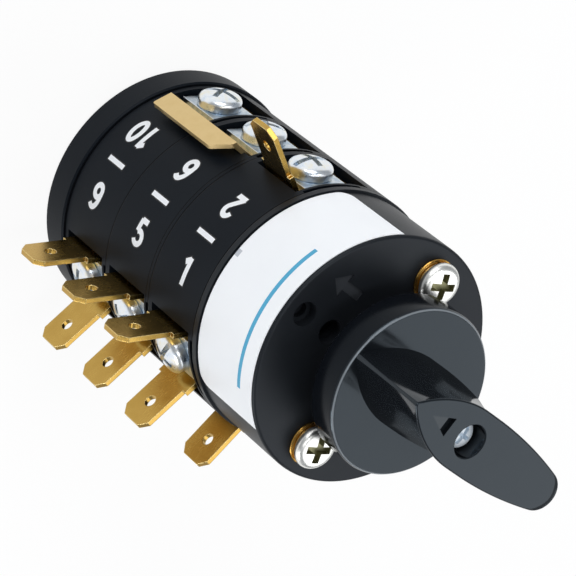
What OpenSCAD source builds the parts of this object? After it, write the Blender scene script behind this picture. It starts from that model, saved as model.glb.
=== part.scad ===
// Three-pole rotary cam switch with a lever knob, panel mounting from the front
// and brass blade terminals round a stack of three contact chambers.
// Origin: centre of the front cover's panel face. +Z runs along the spindle towards the knob,
// -Y points at the numbered side. The switch stands on its back cover.

/* [Housing] */
// Radius of the contact chambers
chamber_r = 20; // [19:0.1:22]
// Radius of the front cover's side, under the label
cover_r = 19.6; // [18.6:0.1:19.8]
// Radius of the back cover
back_r = 20.5; // [20:0.1:23]
// Depth of the front cover
cover_depth = 16.2; // [15.6:0.1:20]
// Height of one contact chamber
pitch = 12.8; // [12.6:0.1:15]
// Thickness of the back cover
back_t = 5.6; // [5:0.1:8]
// Wall of the chambers and covers
wall = 2.2; // [1.8:0.1:2.6]
// Thickness of a chamber's floor
floor_t = 1.2; // [1:0.1:1.8]
// Thickness of the front cover's face
face_t = 3.2; // [2.8:0.1:4]
// Rounding of the front cover's edge
edge_r = 0.5; // [0.2:0.1:0.8]
// Height of the cover's rear rim
rim_h = 1; // [0.6:0.1:1.2]

/* [Terminal pockets] */
// Angle between a terminal screw and the X axis
pocket_deg = 34; // [33:0.5:36]
// Distance from the spindle to the pocket's seat
seat_r = 16.8; // [16.4:0.1:17]
// Half opening of a pocket towards the number band
pocket_in = 5.7; // [5.5:0.1:5.9]
// Half opening of a pocket away from the number band
pocket_out = 7; // [6.7:0.1:7.2]
// Height of a pocket's window
window_h = 10.5; // [9.9:0.1:10.8]
// Wall beside a pocket
pocket_wall = 1.2; // [1:0.1:1.5]
// Depth of the narrow slot in front of each window
slot_h = 0.7; // [0.4:0.1:0.8]

/* [Metal parts] */
// Thickness of the brass strips, blades and links
brass_t = 0.8; // [0.7:0.05:0.9]
// Width of a blade
blade_w = 6.3; // [4.8:0.1:6.6]
// Length of a blade in front of its shoulders
blade_l = 8.2; // [7:0.1:11]
// Hole in a blade
blade_hole_d = 1.8; // [1.4:0.1:2.2]
// Distance from a blade's hole to its tip
blade_hole_in = 3.9; // [3:0.1:4.5]
// Corner cut at a blade's tip
blade_cut = 1.3; // [0.6:0.1:1.8]
// Width of a blade's root and seat plate
plate_w = 7.7; // [7.2:0.1:8.2]
// Length of the root between plate and shoulder
root_l = 3.2; // [2.8:0.1:4.5]
// Half length of the seat plate
plate_half = 4.2; // [4:0.1:4.4]
// Spread of a blade from the screw's direction
spread = 20.5; // [16:0.5:24]
// Terminal screw diameter
term_d = 3.5; // [3:0.1:4]
// Terminal screw head diameter
term_head_d = 6.8; // [6:0.1:7.4]
// Terminal screw head height
term_head_h = 2.6; // [2:0.1:3]
// Width of a clamp washer across the pocket
clamp_w = 7.3; // [6.8:0.1:7.4]

/* [Fixings] */
// Distance between the two panel screws
screw_pitch = 29; // [28:0.2:30]
// Panel screw and tie bolt diameter
bolt_d = 3; // [2.5:0.1:3.2]
// Panel screw head diameter
bolt_head_d = 6; // [5.5:0.1:6.4]
// Outer diameter of the flat washers
washer_d = 7.8; // [7:0.1:8.4]
// Outer diameter of the threaded inserts
insert_d = 5; // [4.4:0.1:5.6]
// Length of the threaded inserts
insert_l = 12; // [10:0.1:13]

/* [Shaft and cams] */
// Diameter of the spindle's round journal
spindle_d = 8; // [7.6:0.1:8.4]
// Width across the spindle's flats
spindle_sq = 6; // [5.6:0.1:6.2]
// Mean radius of the cams
cam_r = 7.8; // [7.4:0.1:8]
// Lift of a plunger from the middle to either end position
lift = 0.75; // [0.5:0.05:0.8]
// Turn of the knob from the middle to either end position
throw_deg = 60; // [45:15:60]
// Radial running clearance of the spindle
run = 0.05; // [0.03:0.01:0.1]

/* [Knob] */
// Radius of the knob's base disc
disc_r = 13.1; // [12:0.1:15]
// Gap between panel face and base disc
panel_gap = 4.5; // [4.3:0.1:6]
// Thickness of the base disc
disc_t = 5.5; // [5:0.1:7]
// Height of the grip above the disc
grip_h = 14.65; // [13.6:0.05:17]
// Half width of the grip at its foot
grip_half = 5.6; // [5.2:0.1:6.2]
// Distance from the spindle to the grip's nose
nose_y = 12.75; // [11:0.05:12.9]
// Distance from the spindle to the grip's tail
tail_y = 21.1; // [18:0.1:26]
// Depth of the screw recess from the grip's top
recess_depth = 6.2; // [5:0.1:6.4]
// Diameter of the screw recess
recess_d = 5.1; // [4.8:0.1:5.6]

/* [Label] */
// Half angle that the label covers
label_deg = 60.5; // [50:0.5:70]
// Thickness of the label
label_t = 0.15; // [0.1:0.05:0.2]
// Height of the label
label_h = 14.4; // [12:0.1:14.4]

/* [Hidden] */
$fn = 96;
eps = 0.01;
fit = 0.05;

// Levels along the spindle
function front_z(k) = -(cover_depth + (k - 1) * pitch);
function mid_z(k) = front_z(k) - pitch / 2;
back_z = front_z(4);
rear_z = back_z - back_t;
disc_z = panel_gap;
grip_z = disc_z + disc_t;
top_z = grip_z + grip_h;

// Radii and half widths that follow from the sizes above
inner_r = chamber_r - wall;
bolt_x = screw_pitch / 2;
boss_in = seat_r - 4.4;
plate_x = seat_r + brass_t * 1.5;
clamp_x = seat_r + brass_t * 2;
// Directions of the two single blades from their screws
tab_2_deg = 30.5;
tab_4_deg = 42;
hub_r = spindle_d / 2 + 1.5;
bolt_clear = 0.2;

// Contact system, measured from the spindle towards -Y
strip_y = 11.4;
button_x = 5.4;
button_r = 1.4;
button_h = 0.7;
tip_h = 0.5;
closed_gap = 0.05;
guide_half = 2.6;
guide_t = 1;
plunger_half = guide_half - 0.1;
bridge_t = 1;
bridge_half = 7.2;
bridge_w = 5;
bridge_y = strip_y + brass_t / 2 + button_h + closed_gap + lift + tip_h;
// Ends of a plunger's guides, clear of the cam and of the pulled-in bridge
guide_in = cam_r + lift + 0.45;
guide_out = bridge_y - lift - 0.65;
strip_end_x = guide_half + guide_t + 0.3;
cam_gap = 0.06;
post_r = 1;

// Helpers

// Turns a point of a pocket's own axes into the switch's axes
function turned(p, a) = [p[0] * cos(a) - p[1] * sin(a), p[0] * sin(a) + p[1] * cos(a)];

// Outline of a bent strip of thickness t along a centre line, with mitred bends
function unit(v) = v / norm(v);
function normal_at(pts, i) =
    let (
        n = len(pts),
        a = i > 0 ? unit(pts[i] - pts[i - 1]) : unit(pts[1] - pts[0]),
        b = i < n - 1 ? unit(pts[i + 1] - pts[i]) : a,
        m = unit([-(a[1] + b[1]), a[0] + b[0]])
    ) m / (m * [-a[1], a[0]]);
function strip_outline(pts, t) = concat(
    [for (i = [0 : len(pts) - 1]) pts[i] + normal_at(pts, i) * t / 2],
    [for (i = [len(pts) - 1 : -1 : 0]) pts[i] - normal_at(pts, i) * t / 2]
);

// Places a child, drawn for the +X -Y quarter, in one of the four quarters
module quarter(right, number_side) {
    if (right && number_side) children();
    else if (number_side) mirror([1, 0, 0]) children();
    else if (right) mirror([0, 1, 0]) children();
    else rotate([0, 0, 180]) children();
}

// A pocket's own axes: X along the terminal screw, -Y towards the number band
module pocket_axes(k, right, number_side) {
    quarter(right, number_side) translate([0, 0, mid_z(k)]) rotate([0, 0, -pocket_deg]) children();
}

// Terminals 1 to 12: four to a chamber, odd ones on the right of the number side
function term_layer(n) = ceil(n / 4);
function term_right(n) = n % 4 == 1 || n % 4 == 0;
function term_number_side(n) = n % 4 == 1 || n % 4 == 2;
module at_terminal(n) {
    pocket_axes(term_layer(n), term_right(n), term_number_side(n)) children();
}
function has_plate(n) = n != 3 && n != 7 && n != 11;

// Wound spring along +Z with round ends
module coil(coil_r, wire_d, h, turns) {
    sides = 6;
    per_turn = 12;
    rings = turns * per_turn;
    rise = h - wire_d;
    pitch_angle = atan(rise / turns / (2 * PI * coil_r));
    pts = [for (i = [0 : rings], j = [0 : sides - 1])
        let (
            a = i * 360 / per_turn,
            b = j * 360 / sides,
            out = wire_d / 2 * cos(b),
            up = wire_d / 2 * sin(b)
        ) [
            (coil_r + out) * cos(a) + up * sin(pitch_angle) * sin(a),
            (coil_r + out) * sin(a) - up * sin(pitch_angle) * cos(a),
            wire_d / 2 + rise * i / rings + up * cos(pitch_angle)
        ]];
    sides_faces = [for (i = [0 : rings - 1], j = [0 : sides - 1])
        let (n = (j + 1) % sides)
        [i * sides + j, (i + 1) * sides + j, (i + 1) * sides + n, i * sides + n]];
    start = [for (j = [0 : sides - 1]) j];
    end = [for (j = [sides - 1 : -1 : 0]) rings * sides + j];
    polyhedron(pts, concat(sides_faces, [start, end]), convexity = 6);
}

// Pan head with a cross recess, seat at z = 0, head above
module pan_head(r, h, slot_w, slot_d) {
    difference() {
        intersection() {
            cylinder(r = r, h = h);
            translate([0, 0, h - 1.7 * r]) sphere(r = 1.7 * r);
        }
        for (a = [0, 90]) rotate([0, 0, a])
            translate([-0.55 * r, -slot_w / 2, h - slot_d]) cube([1.1 * r, slot_w, slot_d + 1]);
    }
}

// Knob

// Outline of the grip seen along the spindle: a pointed nose and a round tail
module grip_outline() {
    side_y = 2;
    nose_half = 0.5;
    tail_r = 3.8;
    run_y = nose_y + side_y;
    step_x = grip_half - nose_half;
    side_r = (step_x * step_x + run_y * run_y) / (2 * step_x);
    nose_deg = asin(run_y / side_r);
    side = [for (i = [0 : 12])
        let (a = nose_deg * (1 - i / 12))
        [grip_half - side_r * (1 - cos(a)), side_y - side_r * sin(a)]];
    tail = [for (i = [0 : 10])
        let (a = 8 + (90 - 8) * i / 10)
        [tail_r * cos(a), tail_y - tail_r + tail_r * sin(a)]];
    half = concat(side, tail);
    other = [for (i = [len(half) - 1 : -1 : 0]) [-half[i][0], half[i][1]]];
    polygon(concat(half, other));
}

module knob() {
    waist_half = 3.9;
    flank_r = 21;
    waist_z = grip_z + 8.3;
    skirt_r = 11.4;
    skirt_deep = 3.2;
    core_r = 6;
    mark_tip = 9;
    mark_base = 4.9;
    mark_half = 1.5;
    mark_deep = 0.7;
    under_z = 7.5;
    color([0.07, 0.08, 0.09]) difference() {
        union() {
            // Base disc with a slight draft and a softened upper edge
            translate([0, 0, disc_z]) rotate_extrude() polygon([
                [0, 0], [disc_r - 0.3, 0], [disc_r, 0.4],
                [disc_r, disc_t - 0.4], [disc_r - 0.4, disc_t], [0, disc_t]
            ]);
            // Grip with hollowed flanks and a tail that rises clear of the disc
            difference() {
                translate([0, 0, grip_z - 0.5]) linear_extrude(grip_h + 0.5) grip_outline();
                for (s = [-1, 1]) translate([s * (flank_r + waist_half), -30, waist_z])
                    rotate([-90, 0, 0]) cylinder(r = flank_r, h = 60, $fn = 180);
                translate([-10, disc_r - 1.6, grip_z - 0.5]) rotate([38, 0, 0])
                    translate([0, 0, -20]) cube([20, 30, 20]);
            }
        }
        // Hollow underside round the hub
        translate([0, 0, disc_z - eps]) difference() {
            cylinder(r = skirt_r, h = skirt_deep);
            translate([0, 0, -1]) cylinder(r = core_r, h = skirt_deep + 2);
        }
        // Square seat on the spindle
        translate([0, 0, disc_z - 1]) square_bore(spindle_top_z() + fit - disc_z + 1);
        // Screw hole and its recess
        cylinder(d = knob_screw_d + 0.2, h = top_z + 1);
        translate([0, 0, top_z - recess_depth]) cylinder(d = recess_d, h = recess_depth + 1);
        // Pointer mark with a floor that deepens towards the screw
        intersection() {
            translate([0, 0, top_z - 2]) linear_extrude(3)
                polygon([[0, -mark_tip], [mark_half, -mark_base], [-mark_half, -mark_base]]);
            translate([-5, -mark_tip, top_z])
                rotate([-atan(mark_deep / (mark_tip - mark_base)), 0, 0]) cube([10, 10, 5]);
        }
    }
}

knob_screw_d = 2.5;
knob_web = 0.7;
function spindle_top_z() = top_z - recess_depth - knob_web;

module knob_screw() {
    head_r = recess_d / 2 - 0.3;
    head_h = 2.3;
    thread_l = 7;
    color([0.8, 0.83, 0.87]) translate([0, 0, top_z - recess_depth]) {
        pan_head(head_r, head_h, 0.7, 1.1);
        translate([0, 0, -thread_l]) cylinder(d = knob_screw_d, h = thread_l + eps);
    }
}

// Spindle and the parts it carries

// Square bore with the spindle's rounded corners and running clearance
module square_bore(h) {
    translate([0, 0, 0]) intersection() {
        cylinder(r = spindle_d / 2 + fit, h = h);
        translate([0, 0, h / 2]) cube([spindle_sq + 2 * fit, spindle_sq + 2 * fit, h + 1], center = true);
    }
}

module squared(z0, z1) {
    translate([0, 0, z0]) intersection() {
        cylinder(d = spindle_d, h = z1 - z0);
        translate([0, 0, (z1 - z0) / 2]) cube([spindle_sq, spindle_sq, z1 - z0 + 1], center = true);
    }
}

pivot_r = 2.5;
pivot_deep = 3.6;
journal_z = -face_t - 1;
module spindle() {
    color([0.72, 0.73, 0.75]) difference() {
        union() {
            squared(back_z + 0.4, journal_z + eps);
            translate([0, 0, journal_z]) cylinder(d = spindle_d, h = panel_gap - 0.7 - journal_z);
            squared(panel_gap - 0.7 - eps, spindle_top_z());
            translate([0, 0, back_z - pivot_deep]) cylinder(r = pivot_r, h = pivot_deep + 0.4 + eps);
        }
        // Tapped hole for the knob's screw
        translate([0, 0, spindle_top_z() - 9]) cylinder(d = knob_screw_d + 0.1, h = 10);
    }
}

// Cam radius at an angle of the cam: a plain ramp on each side of the X axis
ramp = lift / throw_deg;
function cam_radius(a) =
    let (m = abs(a), lo = 90 - throw_deg, hi = 90 + throw_deg)
    m < lo ? cam_r - lift : m > hi ? cam_r + lift : cam_r + (m - 90) * ramp;

module cam(k) {
    steps = 120;
    disc_h = 5;
    color([0.86, 0.85, 0.8]) difference() {
        union() {
            translate([0, 0, mid_z(k) - disc_h / 2]) linear_extrude(disc_h)
                polygon([for (i = [0 : steps - 1])
                    let (a = -180 + 360 * i / steps) cam_radius(a) * [cos(a), sin(a)]]);
            translate([0, 0, front_z(k + 1) + fit]) cylinder(r = hub_r, h = pitch - 2 * fit);
        }
        translate([0, 0, front_z(k + 1) - 1]) square_bore(pitch + 2);
    }
}

star_r = 7.7;
star_wave = 0.3;
star_h = 6;
star_z = -cover_depth + 1.6;
module detent_star() {
    steps = 120;
    hub_top = journal_z - fit;
    color([0.86, 0.85, 0.8]) difference() {
        union() {
            translate([0, 0, star_z]) linear_extrude(star_h)
                polygon([for (i = [0 : steps - 1])
                    let (a = 360 * i / steps)
                    (star_r + star_wave * cos(6 * a)) * [cos(a), sin(a)]]);
            translate([0, 0, -cover_depth + fit]) cylinder(r = hub_r, h = hub_top + cover_depth - fit);
        }
        translate([0, 0, -cover_depth - 1]) square_bore(cover_depth + 2);
    }
}

roller_r = 2;
roller_y = star_r + star_wave + 0.1 + roller_r;
module detent_rollers() {
    color([0.75, 0.76, 0.78]) for (s = [-1, 1])
        translate([0, s * roller_y, star_z]) cylinder(r = roller_r, h = star_h);
}

module detent_springs() {
    start_y = roller_y + roller_r + 0.05;
    spring_l = cover_r - wall - 0.1 - start_y;
    color([0.7, 0.71, 0.73]) for (a = [0, 180]) rotate([0, 0, a])
        translate([0, start_y, star_z + star_h / 2]) rotate([-90, 0, 0]) coil(1.5, 0.5, spring_l, 5);
}

// Contact system: side a lies towards -Y, side b towards +Y

module side_axes(k, b) {
    translate([0, 0, mid_z(k)]) {
        if (b) mirror([0, 1, 0]) children();
        else children();
    }
}

module plunger(k, b) {
    tall = pitch - floor_t - 0.2;
    nose_r = 1.5;
    nose_y0 = -(cam_r + cam_gap);
    color([0.85, 0.3, 0.12]) side_axes(k, b) {
        translate([0, 0, -floor_t / 2 - tall / 2]) {
            translate([-plunger_half, -bridge_y, 0])
                cube([2 * plunger_half, bridge_y + nose_y0 - nose_r, tall]);
            translate([0, nose_y0 - nose_r, 0]) intersection() {
                cylinder(r = nose_r, h = tall);
                translate([-nose_r, -nose_r / 2, 0]) cube([2 * nose_r, 2 * nose_r, tall]);
            }
        }
        translate([0, -bridge_y + eps, 0]) rotate([90, 0, 0]) cylinder(r = post_r, h = bridge_t + 0.6);
    }
}

module bridge(k, b) {
    color([0.8, 0.5, 0.3]) side_axes(k, b) difference() {
        union() {
            translate([-bridge_half, -bridge_y - bridge_t, -bridge_w / 2])
                cube([2 * bridge_half, bridge_t, bridge_w]);
            for (s = [-1, 1]) translate([s * button_x, -bridge_y - eps, 0])
                rotate([-90, 0, 0]) cylinder(r = button_r, h = tip_h + eps);
        }
        translate([0, -bridge_y + 1, 0]) rotate([90, 0, 0]) cylinder(r = post_r + 0.1, h = bridge_t + 2);
    }
}

module contact_spring(k, b) {
    coil_r = 1.9;
    wire_d = 0.4;
    start_y = bridge_y + bridge_t + 0.03;
    spring_l = sqrt(pow(inner_r, 2) - pow(coil_r + wire_d / 2, 2)) - 0.05 - start_y;
    color([0.7, 0.71, 0.73]) side_axes(k, b)
        translate([0, -start_y, 0]) rotate([90, 0, 0]) coil(coil_r, wire_d, spring_l, 3);
}

// Fixed contact strip of one terminal: seat in the pocket, then inwards to its contact
module contact_strip(n) {
    strip_w = 6;
    seat_x = seat_r + brass_t / 2;
    leg_y = -(pocket_in - 1.1);
    tail_y0 = pocket_out - 0.6;
    leg_x = (strip_y + leg_y * cos(pocket_deg)) / sin(pocket_deg);
    path = [
        turned([seat_x, tail_y0], -pocket_deg),
        turned([seat_x, leg_y], -pocket_deg),
        turned([leg_x, leg_y], -pocket_deg),
        [strip_end_x, -strip_y]
    ];
    color([0.8, 0.62, 0.3])
        quarter(term_right(n), term_number_side(n)) translate([0, 0, mid_z(term_layer(n))]) {
            difference() {
                translate([0, 0, -strip_w / 2]) linear_extrude(strip_w)
                    polygon(strip_outline(path, brass_t));
                rotate([0, 0, -pocket_deg]) rotate([0, 90, 0])
                    cylinder(d = term_d + 2 * fit, h = seat_r + brass_t + 1);
            }
            translate([button_x, -strip_y - brass_t / 2 + eps, 0])
                rotate([90, 0, 0]) cylinder(r = button_r, h = button_h + eps);
        }
}

// Terminals

// Flat blade that starts at a shoulder and runs along +X
module blade() {
    rotate([90, 0, 0]) linear_extrude(brass_t, center = true) difference() {
        polygon([
            [-0.4, -blade_w / 2], [blade_l - blade_cut, -blade_w / 2], [blade_l, blade_cut - blade_w / 2],
            [blade_l, blade_w / 2 - blade_cut], [blade_l - blade_cut, blade_w / 2], [-0.4, blade_w / 2]
        ]);
        translate([blade_l - blade_hole_in, 0]) circle(d = blade_hole_d, $fn = 48);
    }
}

// Seat plate with a blade at one or both ends; an angle of undef leaves that end plain
module tab(n, in_deg, out_deg) {
    in_end = [plate_x, -plate_half];
    out_end = [plate_x, plate_half];
    in_root = is_undef(in_deg) ? [] : [in_end + root_l * [cos(in_deg), -sin(in_deg)]];
    out_root = is_undef(out_deg) ? [] : [out_end + root_l * [cos(out_deg), sin(out_deg)]];
    color([0.85, 0.68, 0.36]) at_terminal(n) {
        difference() {
            translate([0, 0, -plate_w / 2]) linear_extrude(plate_w)
                polygon(strip_outline(concat(in_root, [in_end], [out_end], out_root), brass_t));
            rotate([0, 90, 0]) cylinder(d = term_d + 0.3, h = plate_x + brass_t + 1);
        }
        if (!is_undef(in_deg)) translate([in_root[0][0], in_root[0][1], 0])
            rotate([0, 0, -in_deg]) blade();
        if (!is_undef(out_deg)) translate([out_root[0][0], out_root[0][1], 0])
            rotate([0, 0, out_deg]) blade();
    }
}

// Link between one terminal and the one behind it, with its flange over the number band
module link(n) {
    flange_l = 4.6;
    corner = 2;
    leg_deg = 25;
    flange_deg = 112;
    leg_l = chamber_r - plate_x + 1.3;
    base = [plate_x, -plate_half];
    knee = base + leg_l * [cos(leg_deg), -sin(leg_deg)];
    tip = knee + 1.2 * [cos(flange_deg), -sin(flange_deg)];
    path = [[plate_x, plate_half - 0.4], base, knee, tip];
    color([0.88, 0.76, 0.5]) at_terminal(n) {
        for (z = [0, -pitch]) translate([0, 0, z]) difference() {
            translate([0, 0, -plate_w / 2]) linear_extrude(plate_w)
                polygon(strip_outline(path, brass_t));
            rotate([0, 90, 0]) cylinder(d = term_d + 0.3, h = plate_x + brass_t + 1);
        }
        translate([knee[0], knee[1], 0]) rotate([0, 0, -flange_deg]) rotate([90, 0, 0])
            linear_extrude(brass_t, center = true) polygon([
                [0, plate_w / 2], [flange_l - corner, plate_w / 2], [flange_l, plate_w / 2 - corner],
                [flange_l, -pitch - plate_w / 2 + corner], [flange_l - corner, -pitch - plate_w / 2],
                [0, -pitch - plate_w / 2]
            ]);
    }
}

clamp_t = 0.8;
module clamp_washers() {
    lip = 0.5;
    lip_t = 0.6;
    lip_in = plate_w / 2 + 0.1;
    half = lip_in + lip_t;
    color([0.78, 0.82, 0.86]) for (n = [1 : 12]) at_terminal(n) {
        x = has_plate(n) ? clamp_x : clamp_x - brass_t;
        difference() {
            union() {
                translate([x, -clamp_w / 2, -half]) cube([clamp_t, clamp_w, 2 * half]);
                for (z = [-half, lip_in]) translate([x - lip, -clamp_w / 2, z])
                    cube([lip + eps, clamp_w, lip_t]);
            }
            rotate([0, 90, 0]) cylinder(d = term_d + 0.3, h = clamp_x + clamp_t + 1);
        }
    }
}

module terminal_screws() {
    screw_l = seat_r - boss_in - 1;
    color([0.82, 0.86, 0.9]) for (n = [1 : 12]) at_terminal(n) {
        x = (has_plate(n) ? clamp_x : clamp_x - brass_t) + clamp_t;
        translate([x, 0, 0]) rotate([0, 90, 0]) {
            rotate([0, 0, 20 + 37 * n]) pan_head(term_head_d / 2, term_head_h, 1, 1.5);
            translate([0, 0, boss_in + 1 - x]) cylinder(d = term_d, h = x - boss_in - 1 + eps);
        }
    }
}

// Housing

module pocket_solid(h) {
    // Seat block, and the walls on both sides of the window
    translate([boss_in, -(pocket_in - 1.75), 0])
        cube([seat_r - boss_in, pocket_in - 1.75 + pocket_out + pocket_wall, h]);
    translate([boss_in + 1.8, -pocket_in - pocket_wall, 0])
        cube([chamber_r - boss_in, pocket_wall, h]);
    translate([boss_in, pocket_out, 0]) cube([chamber_r - boss_in, pocket_wall, h]);
}

module chamber(k) {
    z0 = front_z(k + 1);
    color([0.13, 0.135, 0.15]) difference() {
        union() {
            translate([0, 0, front_z(k) - floor_t]) cylinder(r = chamber_r, h = floor_t);
            translate([0, 0, z0]) difference() {
                cylinder(r = chamber_r, h = pitch);
                translate([0, 0, -1]) cylinder(r = inner_r, h = pitch + 2);
            }
            translate([0, 0, z0]) intersection() {
                cylinder(r = chamber_r - 0.2, h = pitch);
                union() {
                    for (x = [false, true], y = [false, true]) quarter(x, y)
                        rotate([0, 0, -pocket_deg]) pocket_solid(pitch);
                    for (s = [-1, 1]) translate([s * bolt_x, 0, 0]) cylinder(r = 3.6, h = pitch);
                }
            }
            // Guides of the two plungers
            for (sx = [-1, 1], sy = [-1, 1])
                translate([sx * (guide_half + guide_t / 2) - guide_t / 2,
                           sy * (guide_in + guide_out) / 2 - (guide_out - guide_in) / 2, z0])
                    cube([guide_t, guide_out - guide_in, pitch]);
        }
        // Windows, terminal screw holes and the slots in front of the windows
        for (x = [false, true], y = [false, true]) pocket_axes(k, x, y) {
            translate([seat_r, -pocket_in, pitch / 2 - floor_t - window_h])
                cube([chamber_r, pocket_in + pocket_out, window_h]);
            rotate([0, 90, 0]) cylinder(d = term_d + 0.3, h = seat_r + 1);
            translate([chamber_r - 1.8, -pocket_in + 0.8, pitch / 2 - slot_h])
                cube([5, 2 * pocket_in - 1.6, slot_h + 1]);
        }
        // Cam hub, tie bolts and the middle of the chamber
        translate([0, 0, z0 - 1]) cylinder(r = hub_r + 0.1, h = pitch + 2);
        for (s = [-1, 1]) translate([s * bolt_x, 0, z0 - 1])
            cylinder(d = bolt_d + 2 * bolt_clear, h = pitch + 2);
    }
}

module back_cover() {
    chamfer = 0.6;
    head_deep = 3.2;
    dish_r = 11;
    dish_t = 1.4;
    color([0.11, 0.115, 0.13]) difference() {
        translate([0, 0, rear_z]) rotate_extrude() polygon([
            [0, 0], [back_r - chamfer, 0], [back_r, chamfer],
            [back_r, back_t - chamfer / 2], [back_r - chamfer / 2, back_t], [0, back_t]
        ]);
        // Pivot of the spindle
        translate([0, 0, back_z - pivot_deep - 0.3]) cylinder(r = pivot_r + run, h = back_t);
        // Shallow dish in the rear face
        translate([0, 0, rear_z - 1]) cylinder(r = dish_r, h = 1 + dish_t);
        for (s = [-1, 1]) translate([s * bolt_x, 0, rear_z - 1]) {
            cylinder(d = bolt_d + 2 * bolt_clear, h = back_t + 2);
            cylinder(d = bolt_head_d + 0.4, h = 1 + head_deep);
        }
    }
}

module tie_bolts() {
    seat_z = rear_z + 3.2;
    end_z = -insert_l + 4;
    color([0.75, 0.77, 0.8]) for (s = [-1, 1]) translate([s * bolt_x, 0, seat_z]) {
        translate([0, 0, -eps]) cylinder(d = bolt_d, h = end_z - seat_z + eps);
        mirror([0, 0, 1]) pan_head(bolt_head_d / 2, 2.4, 0.8, 1.2);
    }
}

module front_cover() {
    cavity_r = cover_r - wall;
    boss_r = 4;
    slot_half = roller_r + 0.15;
    rib = 1.2;
    hole_y = [cover_r - 3.75, spindle_d / 2 + 5.9];
    arrow_tip = [-6.5, 4.2 - cover_r];
    color([0.14, 0.145, 0.16]) difference() {
        union() {
            difference() {
                // Side, rear rim and rounded front edge
                rotate_extrude() polygon(concat(
                    [[0, -cover_depth], [chamber_r, -cover_depth], [chamber_r, rim_h - cover_depth],
                     [cover_r, rim_h - cover_depth]],
                    [for (i = [0 : 6]) let (a = 90 * i / 6)
                        [cover_r - edge_r + edge_r * cos(a), -edge_r + edge_r * sin(a)]],
                    [[0, 0]]
                ));
                translate([0, 0, -cover_depth - 1])
                    cylinder(r = cavity_r, h = cover_depth + 1 - face_t);
            }
            // Bosses for the threaded inserts, and the spindle's bearing
            intersection() {
                for (s = [-1, 1]) translate([s * bolt_x, 0, -cover_depth])
                    cylinder(r = boss_r, h = cover_depth - 1);
                translate([0, 0, -cover_depth]) cylinder(r = cover_r - 0.5, h = cover_depth);
            }
            translate([0, 0, -face_t - 0.8]) cylinder(r = spindle_d / 2 + 2.2, h = 1);
            // Guides of the detent rollers
            intersection() {
                for (sx = [-1, 1], sy = [-1, 1])
                    translate([sx * (slot_half + rib / 2) - rib / 2, sy > 0 ? 9 : -cover_r, -cover_depth + 0.6])
                        cube([rib, cover_r - 9, cover_depth - 1.6]);
                translate([0, 0, -cover_depth]) cylinder(r = cover_r - 0.5, h = cover_depth);
            }
        }
        translate([0, 0, -face_t - 2]) cylinder(r = spindle_d / 2 + run, h = face_t + 3);
        for (s = [-1, 1]) translate([s * bolt_x, 0, 0]) {
            translate([0, 0, -insert_l]) cylinder(d = insert_d + 2 * fit, h = insert_l + 1);
            translate([0, 0, -cover_depth - 1]) cylinder(d = bolt_d + 2 * bolt_clear, h = cover_depth);
        }
        // Two stepped holes towards the number side
        for (y = hole_y) translate([0, -y, 0]) {
            translate([0, 0, -1.6]) cylinder(d = 3.8, h = 3, $fn = 48);
            translate([0, 0, -2.6]) cylinder(d = 2.4, h = 3, $fn = 48);
        }
        // Shallow arrow that points at the number side
        translate([arrow_tip[0], arrow_tip[1], -0.25]) linear_extrude(1) polygon([
            [0, 0], [2, 2.5], [0.75, 2.5], [0.75, 6], [-0.75, 6], [-0.75, 2.5], [-2, 2.5]
        ]);
    }
}

module label() {
    back = -cover_depth + rim_h + 0.3;
    corner = 2;
    outer_r = cover_r + 0.02 + label_t;
    corner_deg = corner / outer_r * 180 / PI;
    // Outline seen from the number side, with its corners towards the chambers rounded
    side = concat(
        [for (i = [0 : 8])
            let (a = label_deg - corner_deg + corner_deg * sin(90 * i / 8))
            [outer_r * sin(a), back + corner - corner * cos(90 * i / 8)]],
        [[outer_r * sin(label_deg), back + label_h]]
    );
    other = [for (i = [len(side) - 1 : -1 : 0]) [-side[i][0], side[i][1]]];
    color([0.95, 0.96, 0.98]) intersection() {
        translate([0, 0, back - 1]) difference() {
            cylinder(r = outer_r, h = label_h + 2);
            translate([0, 0, -1]) cylinder(r = cover_r + 0.02, h = label_h + 4);
        }
        rotate([90, 0, 0]) linear_extrude(outer_r + 1) polygon(concat(side, other));
    }
}

flat_t = 0.8;
split_t = 0.9;
module flat_washers() {
    color([0.85, 0.65, 0.3]) for (s = [-1, 1]) translate([s * bolt_x, 0, 0]) difference() {
        cylinder(d = washer_d, h = flat_t);
        translate([0, 0, -1]) cylinder(d = bolt_d + 0.3, h = flat_t + 2);
    }
}

module spring_washers() {
    color([0.8, 0.81, 0.82]) for (s = [-1, 1]) translate([s * bolt_x, 0, flat_t]) difference() {
        cylinder(d = bolt_head_d, h = split_t);
        translate([0, 0, -1]) cylinder(d = bolt_d + 0.3, h = split_t + 2);
        rotate([0, 0, 40]) translate([bolt_d / 2 - 0.5, -0.35, -1]) cube([5, 0.7, split_t + 2]);
    }
}

module panel_screws() {
    head_z = flat_t + split_t;
    color([0.88, 0.88, 0.87]) for (s = [-1, 1]) translate([s * bolt_x, 0, head_z]) {
        rotate([0, 0, 25]) pan_head(bolt_head_d / 2, 2.2, 1, 1.3);
        translate([0, 0, -head_z - 7]) cylinder(d = bolt_d, h = head_z + 7 + eps);
    }
}

module threaded_inserts() {
    color([0.8, 0.6, 0.28]) for (s = [-1, 1]) translate([s * bolt_x, 0, -insert_l]) difference() {
        cylinder(d = insert_d, h = insert_l);
        translate([0, 0, -1]) cylinder(d = bolt_d + 2 * fit, h = insert_l + 2);
    }
}

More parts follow.
